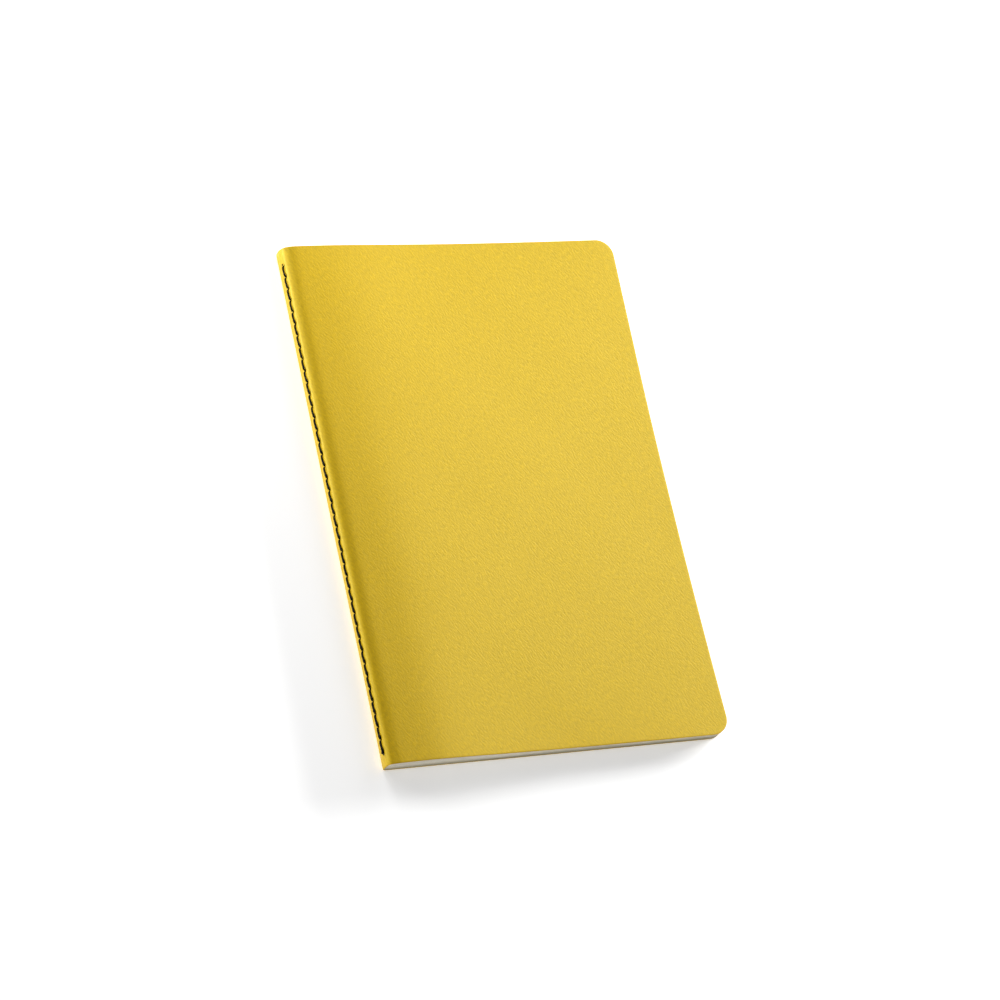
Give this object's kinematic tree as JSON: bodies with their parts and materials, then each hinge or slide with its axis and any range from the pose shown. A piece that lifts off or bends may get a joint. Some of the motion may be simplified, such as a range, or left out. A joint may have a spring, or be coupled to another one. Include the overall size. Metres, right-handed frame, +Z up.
{
  "type": "notebook",
  "caption": "Soft-cover notebook with rounded fore-edge corners, its folded sheets sewn through the fold with a thread that shows along the spine.",
  "frame": {"origin": "middle of the bounding box at its lowest face, where the closed notebook lies on its back cover", "axes": "+X from the spine to the fore edge, +Y from the tail to the head, +Z up out of the front cover"},
  "size_m": [0.1408, 0.21, 0.0079],
  "materials": {
    "cover_card": "matte yellow card with a fine pebbled grain",
    "page_paper": "uncoated ivory paper, trimmed edges",
    "thread": "black waxed thread"
  },
  "bodies": {
    "block": {"pages": "page_paper", "spine": "cover_card", "spine_thread": "thread", "inner_thread": "thread"},
    "front_cover": {"front_cover": "cover_card"},
    "back_cover": {"back_cover": "cover_card"}
  },
  "joints": [
    {"name": "front_cover_hinge", "type": "hinge", "parent": "block", "child": "front_cover", "pos_m": [-0.06726, 0, 0.0073], "axis": [0, -1, 0], "range_deg": [0, 175]},
    {"name": "back_cover_hinge", "type": "hinge", "parent": "block", "child": "back_cover", "pos_m": [-0.06763, 0, 0], "axis": [0, 1, 0], "range_deg": [0, 175]}
  ]
}
